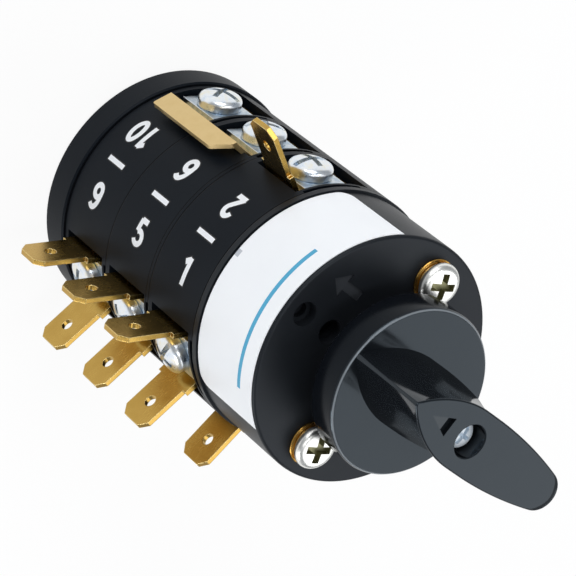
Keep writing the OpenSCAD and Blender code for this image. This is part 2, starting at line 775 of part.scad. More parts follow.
knob();
knob_screw();
front_cover();
label();
panel_screws();
spring_washers();
flat_washers();
threaded_inserts();
chamber(1);  // chamber_1
chamber(2);  // chamber_2
chamber(3);  // chamber_3
back_cover();
tie_bolts();
spindle();
detent_star();
detent_rollers();
detent_springs();
cam(1);  // cam_1
cam(2);  // cam_2
cam(3);  // cam_3
plunger(1, false);  // plunger_1a
plunger(1, true);  // plunger_1b
plunger(2, false);  // plunger_2a
plunger(2, true);  // plunger_2b
plunger(3, false);  // plunger_3a
plunger(3, true);  // plunger_3b
bridge(1, false);  // bridge_1a
bridge(1, true);  // bridge_1b
bridge(2, false);  // bridge_2a
bridge(2, true);  // bridge_2b
bridge(3, false);  // bridge_3a
bridge(3, true);  // bridge_3b
contact_spring(1, false);  // contact_spring_1a
contact_spring(1, true);  // contact_spring_1b
contact_spring(2, false);  // contact_spring_2a
contact_spring(2, true);  // contact_spring_2b
contact_spring(3, false);  // contact_spring_3a
contact_spring(3, true);  // contact_spring_3b
contact_strip(1);  // contact_strip_1
contact_strip(2);  // contact_strip_2
contact_strip(3);  // contact_strip_3
contact_strip(4);  // contact_strip_4
contact_strip(5);  // contact_strip_5
contact_strip(6);  // contact_strip_6
contact_strip(7);  // contact_strip_7
contact_strip(8);  // contact_strip_8
contact_strip(9);  // contact_strip_9
contact_strip(10);  // contact_strip_10
contact_strip(11);  // contact_strip_11
contact_strip(12);  // contact_strip_12
tab(1, spread, spread);  // double_tab_1
tab(5, spread, spread);  // double_tab_5
tab(9, spread, spread);  // double_tab_9
tab(2, tab_2_deg, undef);  // single_tab_2
tab(4, undef, tab_4_deg);  // single_tab_4
link(6);  // link_6_10
link(8);  // link_8_12
clamp_washers();
terminal_screws();
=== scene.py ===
import math

import bmesh
import bpy
from mathutils import Matrix, Vector


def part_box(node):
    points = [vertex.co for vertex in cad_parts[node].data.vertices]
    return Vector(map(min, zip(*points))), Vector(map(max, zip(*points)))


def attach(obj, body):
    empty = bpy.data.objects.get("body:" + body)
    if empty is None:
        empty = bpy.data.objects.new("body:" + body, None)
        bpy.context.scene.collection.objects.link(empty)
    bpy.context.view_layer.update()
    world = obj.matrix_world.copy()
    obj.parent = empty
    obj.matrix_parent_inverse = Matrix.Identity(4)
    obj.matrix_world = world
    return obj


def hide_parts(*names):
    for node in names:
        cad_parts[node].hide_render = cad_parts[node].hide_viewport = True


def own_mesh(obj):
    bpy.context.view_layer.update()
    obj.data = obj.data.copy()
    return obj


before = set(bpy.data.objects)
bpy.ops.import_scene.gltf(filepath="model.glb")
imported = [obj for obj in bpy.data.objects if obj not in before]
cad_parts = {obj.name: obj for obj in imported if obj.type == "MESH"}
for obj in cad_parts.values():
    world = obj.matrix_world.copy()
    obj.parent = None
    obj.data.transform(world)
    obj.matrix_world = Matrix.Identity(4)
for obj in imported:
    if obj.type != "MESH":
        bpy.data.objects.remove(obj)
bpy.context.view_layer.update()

# Camera: a long lens in front of the number side, above the panel face.
# The switch leans in the picture, so the camera is rolled and the knob points down to the right.
lean_axis = Vector((1.2025, 2.389, 0.9564))
lean = Matrix.Rotation(lean_axis.length, 3, lean_axis.normalized())
switch_in_view = Vector((0.01181, 0.01042, 0.4267))
camera_data = bpy.data.cameras.new("camera")
camera_data.sensor_width = 36
camera_data.lens = 187.5
camera_data.clip_start = 0.02
camera_data.clip_end = 20
camera = bpy.data.objects.new("camera", camera_data)
bpy.context.scene.collection.objects.link(camera)
camera_turn = lean.transposed() @ Matrix.Diagonal((1, -1, -1))
camera.matrix_world = Matrix.Translation(-(lean.transposed() @ switch_in_view)) @ camera_turn.to_4x4()
bpy.context.scene.camera = camera
bpy.context.scene.view_settings.view_transform = "Standard"


# Floor: a wide white sheet that the back cover stands on.
# It shows as plain white paper, also mirrored in the metal, and keeps a faint soft shadow.
class Wire:
    """One output of a material's node; arithmetic on it adds Math nodes."""

    def __init__(self, finish, out):
        self.finish = finish
        self.out = out

    def math(self, operation, first, second):
        return self.finish.node("ShaderNodeMath", {"operation": operation}, {0: first, 1: second})

    def __add__(self, other):
        return self.math("ADD", self, other)

    def __radd__(self, other):
        return self.math("ADD", other, self)

    def __sub__(self, other):
        return self.math("SUBTRACT", self, other)

    def __rsub__(self, other):
        return self.math("SUBTRACT", other, self)

    def __mul__(self, other):
        return self.math("MULTIPLY", self, other)

    def __rmul__(self, other):
        return self.math("MULTIPLY", other, self)

    def __gt__(self, other):
        return self.math("GREATER_THAN", self, other)

    def __lt__(self, other):
        return self.math("LESS_THAN", self, other)

    def between(self, low, high):
        """0 below low, 1 above high, smooth in the middle."""
        return self.finish.node("ShaderNodeMapRange", {"interpolation_type": "SMOOTHSTEP"},
                                {"Value": self, "From Min": low, "From Max": high})


class Finish:
    """One material, with a Principled shader whose fixed values are set on its own sockets."""

    def __init__(self, name, color, **fixed):
        self.material = bpy.data.materials.new(name)
        self.material.use_nodes = True
        self.tree = self.material.node_tree
        self.shader = self.tree.nodes["Principled BSDF"]
        self.shader.inputs["Base Color"].default_value = (*color, 1)
        for socket, value in fixed.items():
            self.shader.inputs[socket.replace("_", " ").title().replace("Ior", "IOR")].default_value = value

    def node(self, kind, settings=None, values=None, out=0):
        made = self.tree.nodes.new(kind)
        for key, value in (settings or {}).items():
            if key == "stops":
                ramp = made.color_ramp
                while len(ramp.elements) < len(value):
                    ramp.elements.new(1)
                for element, (place, color) in zip(ramp.elements, value):
                    element.position = place
                    element.color = (*color, 1)
            else:
                setattr(made, key, value)
        for key, value in (values or {}).items():
            socket = made.inputs[key]
            if isinstance(value, Wire):
                self.tree.links.new(value.out, socket)
            elif isinstance(value, tuple) and len(value) == 3 and socket.type == "RGBA":
                socket.default_value = (*value, 1)
            else:
                socket.default_value = value
        return Wire(self, made.outputs[out])

    def place(self):
        """Where a point of the switch is, in millimetres."""
        metres = self.node("ShaderNodeTexCoord", out=3)
        return self.node("ShaderNodeVectorMath", {"operation": "SCALE"}, {0: metres, "Scale": 1000.0})

    def split(self, vector):
        separate = self.tree.nodes.new("ShaderNodeSeparateXYZ")
        self.tree.links.new(vector.out, separate.inputs[0])
        return [Wire(self, o) for o in separate.outputs]

    def noise(self, vector, scale, detail=3.0, roughness=0.5):
        return self.node("ShaderNodeTexNoise", None,
                         {"Vector": vector, "Scale": scale, "Detail": detail, "Roughness": roughness})

    def mix(self, mask, color_a, color_b):
        made = self.tree.nodes.new("ShaderNodeMix")
        made.data_type = "RGBA"
        for index, value in ((0, mask), (6, color_a), (7, color_b)):
            if isinstance(value, Wire):
                self.tree.links.new(value.out, made.inputs[index])
            elif isinstance(value, tuple):
                made.inputs[index].default_value = (*value, 1)
            else:
                made.inputs[index].default_value = value
        return Wire(self, made.outputs[2])

    def rounded_edges(self, radius):
        """The normal that a small rounding of the edges would give, and a mask that is 1 along them."""
        rounded = self.node("ShaderNodeBevel", {"samples": 6}, {"Radius": radius})
        flat = self.node("ShaderNodeNewGeometry", out=1)
        bent = self.node("ShaderNodeVectorMath", {"operation": "DISTANCE"}, {0: rounded, 1: flat}, out=1)
        return rounded, bent.between(0.1, 0.5)

    def feed(self, socket, wire):
        self.tree.links.new(wire.out, self.shader.inputs[socket])

    def bump(self, height, distance, strength=1.0, normal=None):
        values = {"Height": height, "Strength": strength, "Distance": distance}
        if normal:
            values["Normal"] = normal
        self.feed("Normal", self.node("ShaderNodeBump", None, values))


paper = Finish("floor_paper", (0.93, 0.935, 0.94), roughness=0.9, specular_ior_level=0.1)
paper_grain = paper.noise(paper.place(), 0.02, 2.0)
paper.feed("Base Color", paper.mix(paper_grain, (0.925, 0.93, 0.935), (0.94, 0.945, 0.95)))
seen_by_eye = paper.node("ShaderNodeLightPath")
seen_in_gloss = paper.node("ShaderNodeLightPath", out=3)
seen_through = paper.node("ShaderNodeLightPath", out=6)
seen = seen_by_eye.math("MAXIMUM", seen_by_eye, seen_by_eye.math("MAXIMUM", seen_in_gloss, seen_through))
white_sheet = paper.node("ShaderNodeEmission", None, {"Color": (1.0, 1.0, 1.0), "Strength": 1.0})
lit_paper = Wire(paper, paper.shader.outputs[0])
blended = paper.node("ShaderNodeMixShader", None, {0: seen * 0.9, 1: lit_paper, 2: white_sheet})
paper.tree.links.new(blended.out, paper.tree.nodes["Material Output"].inputs["Surface"])
floor_half = 3.0
floor_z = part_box("back_cover")[0].z
floor_mesh = bpy.data.meshes.new("floor")
floor_mesh.from_pydata([(x, y, floor_z) for x, y in
                        ((-floor_half, -floor_half), (floor_half, -floor_half),
                         (floor_half, floor_half), (-floor_half, floor_half))], [], [(0, 1, 2, 3)])
floor_mesh.materials.append(paper.material)
floor = bpy.data.objects.new("floor", floor_mesh)
bpy.context.scene.collection.objects.link(floor)


# Light: a pale room, one large soft box over the upper left of the picture, a wide one above the
# panel face that the knob mirrors, a long one overhead for the rims, and a narrow one low on the right.
world = bpy.data.worlds.new("room")
world.use_nodes = True
world.node_tree.nodes["Background"].inputs["Color"].default_value = (0.93, 0.96, 1.0, 1)
world.node_tree.nodes["Background"].inputs["Strength"].default_value = 0.36
bpy.context.scene.world = world
for lamp_name, lamp_place, lamp_size, lamp_depth, lamp_power in (
        ("box_left", (-0.45, -0.55, 0.32), 0.5, 0.5, 2.6),
        ("box_above", (0.05, 0.62, 0.75), 0.8, 0.8, 3.4),
        ("strip_above", (-0.1, -0.12, 0.85), 0.9, 0.2, 2.2),
        ("strip_right", (0.6, -0.1, 0.15), 0.25, 0.25, 1.2)):
    lamp_data = bpy.data.lights.new(lamp_name, "AREA")
    lamp_data.shape = "RECTANGLE"
    lamp_data.size = lamp_size
    lamp_data.size_y = lamp_depth
    lamp_data.energy = lamp_power
    lamp = bpy.data.objects.new(lamp_name, lamp_data)
    lamp.location = lamp_place
    aim = Vector((0, 0, -0.02)) - Vector(lamp_place)
    lamp.rotation_euler = aim.to_track_quat("-Z", "Y").to_euler()
    bpy.context.scene.collection.objects.link(lamp)


# Housing: the front cover, three contact chambers and the back cover.
# Compression-moulded black plastic, satin and slightly blue, with a fine grain and faint flow marks.
slot_of = {name: node.data.materials[0].name.split(".")[0] for name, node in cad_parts.items()}


def dress(finish, *names):
    for name in names:
        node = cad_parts[name]
        node.data.materials.clear()
        node.data.materials.append(finish.material)


seams_of_stack = ((-16.25, 0.14), (-29.0, 0.13), (-29.75, 0.1), (-41.8, 0.13), (-54.5, 0.14))
wall_r = 19.3


def moulding(name, dark, pale, gloss):
    """Black moulded plastic with fine grooves along the seams of the stack."""
    finish = Finish(name, pale, roughness=0.42, specular_ior_level=gloss,
                    specular_tint=(0.82, 0.9, 1.0, 1.0))
    at = finish.place()
    flow = finish.noise(at, 0.12, 4.0, 0.6)
    grain = finish.noise(at, 6.0, 2.0, 0.5)
    x, y, z = finish.split(at)
    seams = None
    for height, half in seams_of_stack:
        off = finish.node("ShaderNodeMath", {"operation": "ABSOLUTE"}, {0: z - height})
        groove = 1.0 - off.between(half * 0.4, half)
        seams = groove if seams is None else seams.math("MAXIMUM", seams, groove)
    seams = seams * (x * x + y * y > wall_r * wall_r)
    finish.feed("Roughness", 0.36 + flow * 0.1 + grain * 0.06)
    finish.bump(grain * 0.04 - seams, 0.0003, 1.0)
    body = finish.mix(flow, dark, pale)
    return finish, finish.mix(seams, body, (0.0015, 0.0015, 0.002)), at


housing_black, paint, at = moulding("housing_black", (0.0035, 0.005, 0.0075), (0.007, 0.0095, 0.0135), 0.09)
housing_black.feed("Base Color", paint)
dress(housing_black, "chamber_1", "chamber_2", "chamber_3", "back_cover")
cover_black, paint, at = moulding("cover_black", (0.006, 0.007, 0.009), (0.01, 0.012, 0.015), 0.25)
x, y, z = cover_black.split(at)
arrow = (z < -0.12) * (z > -0.4) * (x < -4.3) * (x > -8.7) * (y < -9.0) * (y > -15.6)
cover_black.feed("Base Color", cover_black.mix(arrow, paint, (0.03, 0.033, 0.038)))
dress(cover_black, "front_cover")


# Label: a white film on the front cover with one blue line along its front edge.
# The print of the real label is left off; only the line and a small grey square stay.
label_film = Finish("label_film", (0.88, 0.9, 0.93), roughness=0.38)
at = label_film.place()
x, y, z = label_film.split(at)
angle = label_film.node("ShaderNodeMath", {"operation": "ARCTAN2"}, {0: x, 1: y * -1.0})
line_z = -3.7
line_half = 0.4
line = (z - line_z) * (z - line_z) < line_half * line_half
line = line * (angle < math.radians(45)) * (angle > math.radians(-24))
spot = (z < -14.0) * (z > -14.9) * (angle > math.radians(-4.5)) * (angle < math.radians(-1.2))
paint = label_film.mix(label_film.noise(at, 0.2), (0.87, 0.89, 0.92), (0.9, 0.92, 0.94))
paint = label_film.mix(line, paint, (0.05, 0.36, 0.58))
label_film.feed("Base Color", label_film.mix(spot, paint, (0.5, 0.53, 0.58)))
dress(label_film, "label")


# Knob: lever knob of glossy black plastic with a slate sheen, polished in its mould, with a highlight
# painted as a pale band along the disc's top edge.
# The grip is lofted: one outline with a ridged nose and a round tail, drawn in at the waist.
def lathe(profile, sides=96):
    """A closed form turned round Z from points (radius, height) that start and end on the axis."""
    bm = bmesh.new()
    rings = []
    for radius, height in profile:
        if radius < 1e-6:
            rings.append([bm.verts.new((0, 0, height))])
        else:
            turns = [2 * math.pi * i / sides for i in range(sides)]
            rings.append([bm.verts.new((radius * math.cos(t), radius * math.sin(t), height)) for t in turns])
    for low, high in zip(rings, rings[1:]):
        for i in range(sides):
            j = (i + 1) % sides
            if len(low) == 1:
                bm.faces.new((low[0], high[j], high[i]))
            elif len(high) == 1:
                bm.faces.new((low[i], low[j], high[0]))
            else:
                bm.faces.new((low[i], low[j], high[j], high[i]))
    bmesh.ops.recalc_face_normals(bm, faces=bm.faces[:])
    return bm


def block(low, high):
    """A plain box that cuts recesses and slots."""
    bm = bmesh.new()
    bmesh.ops.create_cube(bm, size=1.0)
    for v in bm.verts:
        v.co = [low[i] + (v.co[i] + 0.5) * (high[i] - low[i]) for i in range(3)]
    return bm


def combined(form, other, operation="DIFFERENCE"):
    """Takes one closed form away from another, or joins the two."""
    holders = []
    for bm in (form, other):
        mesh = bpy.data.meshes.new("form")
        bm.to_mesh(mesh)
        bm.free()
        holder = bpy.data.objects.new("form", mesh)
        bpy.context.scene.collection.objects.link(holder)
        holders.append(holder)
    step = holders[0].modifiers.new("step", "BOOLEAN")
    step.operation = operation
    step.solver = "EXACT"
    step.object = holders[1]
    bpy.context.view_layer.update()
    made = bpy.data.meshes.new_from_object(holders[0].evaluated_get(bpy.context.evaluated_depsgraph_get()))
    result = bmesh.new()
    result.from_mesh(made)
    for holder in holders:
        bpy.data.objects.remove(holder)
    return result


def show(name, bm, finish, body, *nodes, sharp=32):
    """Turns a form in millimetres into a piece that rides on a body and stands for CAD nodes."""
    bmesh.ops.scale(bm, vec=(0.001, 0.001, 0.001), verts=bm.verts[:])
    mesh = bpy.data.meshes.new(name)
    bm.to_mesh(mesh)
    bm.free()
    mesh.shade_smooth()
    mesh.set_sharp_from_angle(angle=math.radians(sharp))
    mesh.materials.append(finish.material)
    piece = bpy.data.objects.new(name, mesh)
    bpy.context.scene.collection.objects.link(piece)
    flat_faces = piece.modifiers.new("flat_faces", "WEIGHTED_NORMAL")
    flat_faces.keep_sharp = True
    flat_faces.weight = 90
    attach(piece, body)
    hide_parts(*nodes)


knob_black = Finish("knob_black", (0.006, 0.007, 0.009), roughness=0.09, specular_ior_level=0.36,
                    specular_tint=(0.68, 0.85, 1.0, 1.0))
at = knob_black.place()
haze = knob_black.noise(at, 0.25, 3.0, 0.55)
knob_black.feed("Roughness", 0.07 + haze * 0.06)
disc_z = 4.5
disc_r = 13.1
grip_z = 10.0
x, y, z = knob_black.split(at)
out_sq = x * x + y * y
# A pale band along the top edge of the disc: a painted highlight.
rim_highlight = out_sq.between((disc_r - 0.42) ** 2, (disc_r - 0.3) ** 2)
rim_highlight = rim_highlight * (1.0 - out_sq.between((disc_r - 0.2) ** 2, (disc_r - 0.08) ** 2))
rim_highlight = rim_highlight * (z > grip_z - 0.5) * (z < grip_z + 0.05)
paint = knob_black.mix(haze, (0.005, 0.006, 0.008), (0.009, 0.011, 0.013))
knob_black.feed("Base Color", knob_black.mix(rim_highlight, paint, (0.2, 0.22, 0.24)))
knob_wall = Finish("knob_wall", (0.004, 0.005, 0.007), roughness=0.14, specular_ior_level=0.1,
                   specular_tint=(0.68, 0.85, 1.0, 1.0))
haze = knob_wall.noise(knob_wall.place(), 0.25, 3.0, 0.55)
knob_wall.feed("Roughness", 0.1 + haze * 0.08)
top_z = 24.65
recess_r = 2.55
recess_z = top_z - 6.2
tail_slope = math.radians(38)
nose_arc = 18.46
tail_arc = 67.06
outline = [(0.0, -12.78), (0.18, -12.7)]
for i in range(25):
    turn = math.radians(41.3 * (1 - i / 24))
    outline.append((1.143 * (4.9 - nose_arc * (1 - math.cos(turn))), -0.5 - nose_arc * math.sin(turn)))
for i in range(1, 15):
    turn = math.radians(14.06 * i / 14)
    outline.append((5.6 - tail_arc * (1 - math.cos(turn)), 2.0 + tail_arc * math.sin(turn)))
for i in range(1, 19):
    turn = math.radians(14.06 + (90 - 14.06) * i / 18)
    outline.append((3.7 * math.cos(turn), 17.4 + 3.7 * math.sin(turn)))
outline += [(-x, y) for x, y in outline[-2:0:-1]]


def waist(z):
    """Share of the foot's width that the grip keeps at a height."""
    return (23.3 - math.sqrt(19.5 ** 2 - (z - 18.3) ** 2)) / 5.6


grip = bmesh.new()
rings = []
count = len(outline)
for i in range(31):
    z = grip_z - 0.5 + (top_z - 0.3 - grip_z + 0.5) * i / 30
    rings.append([(x * waist(z), y, z) for x, y in outline])
for i in range(1, 8):
    bend = math.radians(90 * i / 7)
    ring = []
    for n, (x, y) in enumerate(outline):
        before, after = outline[n - 1], outline[(n + 1) % count]
        way = Vector(((after[0] - before[0]) * waist(top_z), after[1] - before[1])).normalized()
        share = min(max((y - 17.5) / 3.6, 0.0), 1.0)
        soft = 0.3 + 0.8 * share * share * (3 - 2 * share)
        inset = soft * (1 - math.cos(bend))
        ring.append((x * waist(top_z) - way.y * inset, y + way.x * inset,
                     top_z - 0.3 * (1 - math.sin(bend)) - (soft - 0.3) * (1 - math.cos(bend)) * (1 - i / 7)))
    rings.append(ring)
verts = [[grip.verts.new(place) for place in ring] for ring in rings]
for low, high in zip(verts, verts[1:]):
    for i in range(count):
        grip.faces.new((low[i], low[(i + 1) % count], high[(i + 1) % count], high[i]))
grip.faces.new(verts[-1])
grip.faces.new(list(reversed(verts[0])))
bmesh.ops.bisect_plane(grip, geom=grip.verts[:] + grip.edges[:] + grip.faces[:],
                       plane_co=(0, disc_r - 1.6, grip_z - 0.5),
                       plane_no=(0, math.sin(tail_slope), -math.cos(tail_slope)), clear_outer=True)
bmesh.ops.holes_fill(grip, edges=[e for e in grip.edges if e.is_boundary])
bmesh.ops.recalc_face_normals(grip, faces=grip.faces[:])
rim_round = 0.55
edge = [(disc_r - rim_round * (1 - math.sin(math.radians(a))), rim_round * (1 - math.cos(math.radians(a))))
        for a in range(0, 91, 15)]
disc = lathe([(0, disc_z), (6, disc_z), (6, disc_z + 3.2), (11.4, disc_z + 3.2), (11.4, disc_z)]
             + [(r, disc_z + z) for r, z in edge]
             + [(r, grip_z - z) for r, z in reversed(edge)] + [(0, grip_z)], 144)
whole = combined(disc, grip, "UNION")
recess = lathe([(0, recess_z), (recess_r, recess_z), (recess_r, top_z - 0.15),
                (recess_r + 0.15, top_z + 0.001), (recess_r + 0.15, top_z + 1), (0, top_z + 1)], 64)
whole = combined(whole, recess)
pocket = bmesh.new()
corners = [(0, -9.0, top_z - 0.1), (1.5, -4.9, top_z - 0.6), (-1.5, -4.9, top_z - 0.6),
           (0, -9.0, top_z + 1), (1.5, -4.9, top_z + 1), (-1.5, -4.9, top_z + 1)]
corners = [pocket.verts.new(c) for c in corners]
for face in ((0, 2, 1), (3, 4, 5), (0, 1, 4, 3), (1, 2, 5, 4), (2, 0, 3, 5)):
    pocket.faces.new([corners[i] for i in face])
bmesh.ops.recalc_face_normals(pocket, faces=pocket.faces[:])
show("lever_knob", combined(whole, pocket), knob_black, "rotor", "knob")
knob_mesh = bpy.data.objects["lever_knob"].data
knob_mesh.materials.append(knob_wall.material)
for face in knob_mesh.polygons:
    if face.center.xy.length > 0.0128 and face.center.z < 0.0099 and abs(face.normal.z) < 0.3:
        face.material_index = 1


# Terminal screws and square clamp washers: pressed steel with a bright bluish zinc coat.
# The coat is a little uneven, with faint yellow and blue stains.
bright_zinc = Finish("bright_zinc", (0.78, 0.84, 0.9), metallic=1.0, roughness=0.2)
at = bright_zinc.place()
stain = bright_zinc.noise(at, 0.7, 4.0, 0.6)
zinc_tone = bright_zinc.node("ShaderNodeValToRGB", {"stops": (
    (0.3, (0.62, 0.72, 0.83)), (0.5, (0.84, 0.88, 0.92)), (0.72, (0.86, 0.82, 0.66)))}, {"Fac": stain})
bright_zinc.feed("Base Color", zinc_tone)
bright_zinc.feed("Roughness", 0.2 + stain * 0.2)
dress(bright_zinc, "tie_bolts")
plate_zinc = Finish("plate_zinc", (0.5, 0.58, 0.66), metallic=1.0, roughness=0.3)
at = plate_zinc.place()
stain = plate_zinc.noise(at, 0.8, 4.0, 0.6)
edge_round = 0.00016
# The edges are painted near white: a painted highlight.
rounded, edge_highlight = plate_zinc.rounded_edges(edge_round)
paint = plate_zinc.mix(stain.between(0.3, 0.7), (0.36, 0.46, 0.56), (0.66, 0.7, 0.72))
plate_zinc.feed("Base Color", plate_zinc.mix(edge_highlight, paint, (0.95, 0.97, 1.0)))
plate_zinc.feed("Roughness", 0.22 + stain * 0.2)
plate_zinc.feed("Normal", rounded)
dress(plate_zinc, "clamp_washers")


def screw_head(radius, height, dome_r, arm, deep, through):
    """A domed head with a rounded shoulder and a cross recess; one arm may be a slot right through."""
    shoulder = 0.3 * radius
    dome_z = height - dome_r
    shoulder_z = dome_z + math.sqrt((dome_r - shoulder) ** 2 - (radius - shoulder) ** 2)
    join = math.atan2(shoulder_z - dome_z, radius - shoulder)
    profile = [(0, 0), (radius - 0.15, 0), (radius, 0.15)]
    for i in range(9):
        bend = join * i / 8
        profile.append((radius - shoulder * (1 - math.cos(bend)), shoulder_z + shoulder * math.sin(bend)))
    for i in range(1, 7):
        bend = join + (math.pi / 2 - join) * i / 6
        profile.append((dome_r * math.cos(bend), dome_z + dome_r * math.sin(bend)))
    profile[-1] = (0, height)
    head = lathe(profile, 48)
    cross = 0.62 * radius
    reach = radius + 1 if through else cross
    top = height + 1
    head = combined(head, block((-reach, -arm / 2, height - 0.6 * deep), (reach, arm / 2, top)))
    head = combined(head, block((-arm / 2, -cross, height - deep), (arm / 2, cross, top)))
    return combined(head, block((-cross, -arm / 2, height - deep), (cross, arm / 2, top)))


def copied(target, source, matrix):
    """Adds a moved copy of one form to another."""
    mesh = bpy.data.meshes.new("copy")
    source.to_mesh(mesh)
    mesh.transform(matrix)
    target.from_mesh(mesh)
    bpy.data.meshes.remove(mesh)


terminal_head = screw_head(3.4, 2.6, 6.2, 0.85, 1.5, True)
terminal_shank = lathe([(0, -7.9), (1.75, -7.9), (1.75, 0.0), (0, 0.0)], 32)
pitch = 12.8
first_z = -22.6
pocket_deg = 34
bare_seat = 18.4
plate_seat = 19.2
terminals = bmesh.new()
for n in range(1, 13):
    layer = (n - 1) // 4
    right = n % 4 in (0, 1)
    number_side = n % 4 in (1, 2)
    seat = bare_seat if n in (3, 7, 11) else plate_seat
    heading = math.radians(-pocket_deg if number_side else pocket_deg)
    heading = heading if right else math.pi - heading
    spot = Matrix.Translation((seat * math.cos(heading), seat * math.sin(heading),
                               first_z - pitch * layer))
    turn = Matrix.Rotation(heading, 4, "Z") @ Matrix.Rotation(math.pi / 2, 4, "Y")
    copied(terminals, terminal_head, spot @ turn @ Matrix.Rotation(math.radians(20 + 37 * n), 4, "Z"))
    copied(terminals, terminal_shank, spot @ turn)
show("domed_screws", terminals, bright_zinc, "housing", "terminal_screws")
satin_zinc = Finish("satin_zinc", (0.8, 0.86, 0.92), metallic=0.2, roughness=0.42)
at = satin_zinc.place()
bloom = satin_zinc.noise(at, 1.2, 3.0, 0.55)
satin_zinc.feed("Base Color", satin_zinc.mix(bloom, (0.66, 0.78, 0.9), (0.93, 0.96, 0.98)))
satin_zinc.feed("Roughness", 0.36 + bloom * 0.14)
deep_screw = screw_head(2.25, 4.5, 4.2, 0.6, 1.2, False)
copied(deep_screw, lathe([(0, -7.0), (1.25, -7.0), (1.25, 0.0), (0, 0.0)], 32), Matrix.Identity(4))
bmesh.ops.translate(deep_screw, vec=(0, 0, recess_z), verts=deep_screw.verts[:])
show("recess_screw", deep_screw, satin_zinc, "rotor", "knob_screw")


# Panel screws with their spring washers: steel with a warm white nickel coat.
# The cross recess is painted a darker olive.
nickel = Finish("nickel", (0.86, 0.86, 0.83), metallic=1.0, roughness=0.2)
at = nickel.place()
patch = nickel.noise(at, 0.9, 3.0, 0.5)
x, y, z = nickel.split(at)
bolt_x = 14.5
from_axis = nickel.node("ShaderNodeMath", {"operation": "ABSOLUTE"}, {0: x}) - bolt_x
in_recess = (from_axis * from_axis + y * y < 4.6) * (z < 2.45) * (z > 1.3)
bare = nickel.mix(patch, (0.8, 0.8, 0.77), (0.93, 0.93, 0.9))
nickel.feed("Base Color", nickel.mix(in_recess, bare, (0.3, 0.29, 0.17)))
nickel.feed("Roughness", 0.26 + patch * 0.14 + in_recess * 0.2)
ring_t = 0.35
head_z = 1.15
panel_parts = bmesh.new()
split_parts = bmesh.new()
panel_head = screw_head(3.35, 1.5, 18.0, 1.15, 1.1, False)
thread = [(0, -7.0), (1.35, -7.0)]
for i in range(16):
    thread += [(1.35, -6.9 + 0.5 * i), (1.52, -6.65 + 0.5 * i)]
thread += [(1.35, 1.1), (0, 1.1)]
split_ring = combined(lathe([(0, 0), (2.65, 0), (2.8, 0.1), (2.8, 0.6), (2.65, 0.7), (0, 0.7)], 64),
                      lathe([(0, -1), (1.6, -1), (1.6, 2), (0, 2)], 48))
split_ring = combined(split_ring, block((1.0, -0.3, -1), (4.0, 0.3, 2)))
for side in (-1, 1):
    head_spot = Matrix.Translation((bolt_x * side, 0, head_z))
    split_spot = Matrix.Translation((bolt_x * side, 0, head_z - 0.72))
    copied(panel_parts, panel_head, head_spot @ Matrix.Rotation(0.45, 4, "Z"))
    copied(panel_parts, lathe(thread, 40), Matrix.Translation((bolt_x * side, 0, 0)))
    copied(split_parts, split_ring, split_spot @ Matrix.Rotation(math.radians(205), 4, "Z"))
show("pan_screws", panel_parts, nickel, "housing", "panel_screws")
show("split_washers", split_parts, nickel, "housing", "spring_washers")


# Blades and contact strips: rolled brass sheet with fine marks along the strip.
# The faces are satin from rolling, and a highlight is painted along the edges.
sheet_brass = Finish("sheet_brass", (0.5, 0.33, 0.1), metallic=1.0, roughness=0.26)
at = sheet_brass.place()
rolled = sheet_brass.noise(at, 0.35, 3.0, 0.55)
scratches = sheet_brass.noise(sheet_brass.node("ShaderNodeVectorMath", {"operation": "MULTIPLY"},
                                               {0: at, 1: (1.0, 1.0, 14.0)}), 0.9, 3.0, 0.6)
# The edges are painted pale gold: a painted highlight.
rounded, edge_highlight = sheet_brass.rounded_edges(edge_round)
paint = sheet_brass.mix(rolled, (0.43, 0.26, 0.055), (0.58, 0.38, 0.1))
sheet_brass.feed("Base Color", sheet_brass.mix(edge_highlight, paint, (0.93, 0.74, 0.36)))
sheet_brass.feed("Roughness", 0.16 + rolled * 0.12 + scratches * 0.08)
sheet_brass.bump(scratches, 0.000004, 0.3, rounded)
dress(sheet_brass, "double_tab_1", "double_tab_5", "double_tab_9", "single_tab_2", "single_tab_4")
dress(sheet_brass, *(f"contact_strip_{n}" for n in range(1, 13)))


# Links: the same brass as the blades, painted paler as painted light, and more matt. A cloudy variation in
# colour and roughness, with no rolling marks.
tumbled_brass = Finish("tumbled_brass", (0.72, 0.54, 0.26), metallic=1.0, roughness=0.4)
at = tumbled_brass.place()
cloudy = tumbled_brass.noise(at, 0.5, 4.0, 0.6)
speckle = tumbled_brass.noise(at, 5.0, 2.0, 0.5)
# Paler than the blades' brass: painted light.
tumbled_brass.feed("Base Color", tumbled_brass.mix(cloudy, (0.66, 0.48, 0.21), (0.78, 0.6, 0.31)))
tumbled_brass.feed("Roughness", 0.34 + cloudy * 0.1 + speckle * 0.06)
tumbled_brass.bump(speckle, 0.000008, 0.4)
brass_t = 0.8
plate_x = 18.0
plate_half = 4.2
plate_w = 7.7
bore_r = 1.9
leg_deg = 54
leg_l = 4.4
flange_deg = 115
flange_l = 2.95


def bent_strip(path, half_w, z_mid):
    """A strip of brass sheet bent along a path of points, as wide as twice half_w."""
    bm = bmesh.new()
    rows = []
    for i, point in enumerate(path):
        point = Vector(point)
        before = (point - Vector(path[i - 1]) if i else Vector(path[1]) - point).normalized()
        after = (Vector(path[i + 1]) - point).normalized() if i < len(path) - 1 else before
        side = Vector((-(before + after).y, (before + after).x)).normalized()
        side /= side.dot(Vector((-before.y, before.x)))
        rows.append([bm.verts.new((*(point + side * brass_t / 2 * s), z_mid + half_w * w))
                     for s, w in ((1, 1), (1, -1), (-1, -1), (-1, 1))])
    for low, high in zip(rows, rows[1:]):
        for i in range(4):
            bm.faces.new((low[i], low[(i + 1) % 4], high[(i + 1) % 4], high[i]))
    bm.faces.new(rows[0])
    bm.faces.new(list(reversed(rows[-1])))
    bmesh.ops.recalc_face_normals(bm, faces=bm.faces[:])
    return bm


